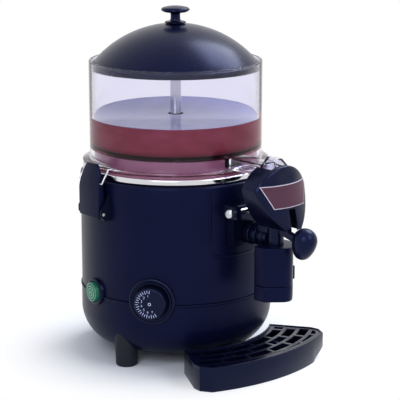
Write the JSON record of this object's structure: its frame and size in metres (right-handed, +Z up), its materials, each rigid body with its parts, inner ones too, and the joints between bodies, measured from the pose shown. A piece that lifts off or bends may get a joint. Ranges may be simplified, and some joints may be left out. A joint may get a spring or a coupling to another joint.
{
  "type": "hot chocolate dispenser",
  "caption": "Countertop hot chocolate dispenser: heated round base, clear bowl with stirring paddle and domed lid, lever tap, drip tray with grate.",
  "frame": {"origin": "on the body's axis, at the plane the feet stand on", "axes": "+Z up along the body's axis, the tap and drip tray point to -Y, +X is the machine's left as it faces you"},
  "size_m": [0.2862, 0.3858, 0.465],
  "materials": {
    "cast_alloy": "die-cast alloy",
    "black_plastic": "black plastic, satin",
    "brass": "turned brass",
    "bright_steel": "bright drawn steel",
    "clear_plastic": "clear plastic",
    "green_lens": "translucent green lens, lit",
    "label_plate": "printed plate, plum brown",
    "zinc_steel": "zinc-plated sheet",
    "navy_plastic": "moulded dark navy plastic, soft gloss",
    "rubber": "moulded rubber",
    "milky_silicone": "milky silicone ring",
    "polished_steel": "polished stainless steel",
    "white_plastic": "moulded insulating plastic"
  },
  "bodies": {
    "housing": {"base_shell": "navy_plastic", "bath_gasket": "milky_silicone", "body_shell": "navy_plastic", "bottom_plate": "black_plastic", "bowl": "clear_plastic", "cable_gland": "black_plastic", "column_seal": "rubber", "dial_bezel": "black_plastic", "foot_1": "rubber", "foot_2": "rubber", "foot_3": "rubber", "foot_4": "rubber", "foot_5": "rubber", "foot_6": "rubber", "gearbox": "cast_alloy", "heater_element": "polished_steel", "label_plate": "label_plate", "latch_bracket_left": "black_plastic", "latch_bracket_right": "black_plastic", "latch_pin_left": "bright_steel", "latch_pin_right": "bright_steel", "lever_pin": "bright_steel", "motor_body": "black_plastic", "motor_bracket": "zinc_steel", "motor_screws": "bright_steel", "safety_cutout": "white_plastic", "shaft_bush": "brass", "shaft_tube": "polished_steel", "spout_base": "navy_plastic", "spout_block": "navy_plastic", "switch_bezel": "black_plastic", "tap_body": "black_plastic", "tap_cover": "navy_plastic", "tap_mount": "black_plastic", "tap_pin": "bright_steel", "terminal_block": "black_plastic", "thermostat_body": "white_plastic", "valve_spring": "bright_steel", "water_bath": "polished_steel"},
    "lid": {"lid_dome": "navy_plastic", "lid_knob": "navy_plastic", "lid_washer": "black_plastic", "lid_screw": "black_plastic"},
    "agitator": {"drive_shaft": "polished_steel", "agitator_stem": "polished_steel", "agitator_cap": "black_plastic", "agitator_paddle": "black_plastic"},
    "lever": {"lever_arm": "black_plastic", "lever_knob": "navy_plastic"},
    "plunger": {"valve_plunger": "white_plastic", "plunger_seal": "rubber"},
    "latch_left": {"latch_cover_left": "navy_plastic", "latch_bail_left": "bright_steel"},
    "latch_right": {"latch_cover_right": "navy_plastic", "latch_bail_right": "bright_steel"},
    "dial": {"dial_knob": "navy_plastic", "dial_spindle": "brass"},
    "switch": {"switch_button": "green_lens"},
    "tray": {"drip_tray": "navy_plastic"},
    "grate": {"tray_grate": "navy_plastic"}
  },
  "joints": [
    {"name": "lid_lift", "type": "slide", "parent": "housing", "child": "lid", "axis": [0, 0, 1], "range_m": [0, 0.12]},
    {"name": "agitator_spin", "type": "hinge", "parent": "housing", "child": "agitator", "pos_m": [0, 0, 0.3], "axis": [0, 0, 1], "continuous": true},
    {"name": "lever_lift", "type": "hinge", "parent": "housing", "child": "lever", "pos_m": [0, -0.171, 0.203], "axis": [-1, 0, 0], "range_deg": [0, 40], "stiffness_Nm_per_rad": 0.12, "springref_deg": -17.19, "deforming": ["valve_spring"]},
    {"name": "valve_lift", "type": "slide", "parent": "housing", "child": "plunger", "axis": [0, 0, 1], "range_m": [0, 0.0099]},
    {"name": "latch_left_swing", "type": "hinge", "parent": "housing", "child": "latch_left", "pos_m": [-0.13645, 0.01434, 0.2077], "axis": [-0.1045, -0.9945, 0], "range_deg": [0, 75]},
    {"name": "latch_right_swing", "type": "hinge", "parent": "housing", "child": "latch_right", "pos_m": [0.13645, 0.01434, 0.2077], "axis": [-0.1045, 0.9945, 0], "range_deg": [0, 75]},
    {"name": "dial_turn", "type": "hinge", "parent": "housing", "child": "dial", "pos_m": [-0.10759, -0.06934, 0.0975], "axis": [0.8406, 0.5417, 0], "range_deg": [0, 270]},
    {"name": "switch_press", "type": "slide", "parent": "housing", "child": "switch", "axis": [0.989, -0.1478, 0], "range_m": [0, 0.003], "stiffness_N_per_m": 400, "springref_m": -0.001},
    {"name": "tray_slide", "type": "slide", "parent": "housing", "child": "tray", "axis": [0, -1, 0], "range_m": [0, 0.15]},
    {"name": "grate_lift", "type": "slide", "parent": "tray", "child": "grate", "axis": [0, 0, 1], "range_m": [0, 0.008]}
  ],
  "couplings": [
    {"joint": "valve_lift", "follows": "lever_lift", "m_per_rad": 0.014}
  ]
}
